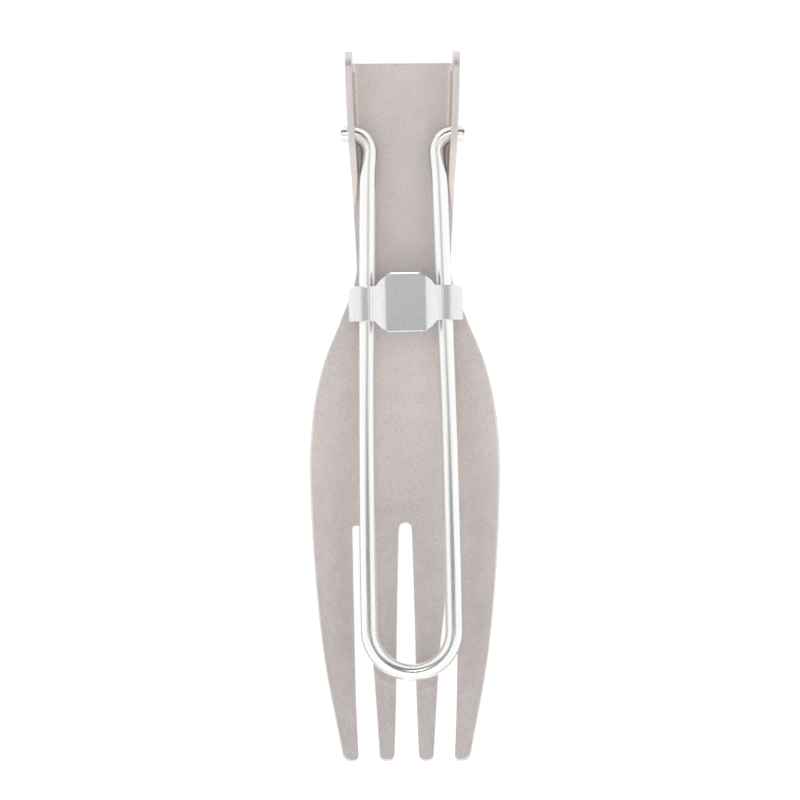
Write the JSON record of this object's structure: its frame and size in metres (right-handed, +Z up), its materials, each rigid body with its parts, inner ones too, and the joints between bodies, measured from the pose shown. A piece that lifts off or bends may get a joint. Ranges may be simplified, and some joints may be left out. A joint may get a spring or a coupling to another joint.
{
  "type": "folding fork",
  "caption": "Folding camp fork: pressed sheet-metal head with tines and pivot ears, bent wire handle folded over its hollow, and a stamped sliding lock clip on the wires.",
  "frame": {"origin": "on the table under the middle of the bounding box, with the fork folded and lying on its back, its belly touching the table", "axes": "+Z up out of the hollow of the head, +Y from the tines towards the stem's end and its pivot, +X across the fork, to the right when it is seen from above with the tines pointing down the page"},
  "size_m": [0.028, 0.1039, 0.011],
  "materials": {
    "blasted_sheet": "bead-blasted bare titanium sheet, matt warm grey, with brighter rubbed edges",
    "polished_wire": "round wire polished bright, with faint drawing lines along it",
    "stamped_clip": "stamped stainless strip, satin, with bright rolled-over edges"
  },
  "bodies": {
    "head": {"fork_head": "blasted_sheet"},
    "handle": {"wire_handle": "polished_wire"},
    "lock": {"slide_lock": "stamped_clip"}
  },
  "joints": [
    {"name": "handle_fold", "type": "hinge", "parent": "head", "child": "handle", "pos_m": [0, 0.0398, 0.00665], "axis": [-1, 0, 0], "range_deg": [0, 180]},
    {"name": "lock_slide", "type": "slide", "parent": "handle", "child": "lock", "axis": [0.012, -0.9999, 0], "range_m": [-0.0097, 0.0425]}
  ]
}
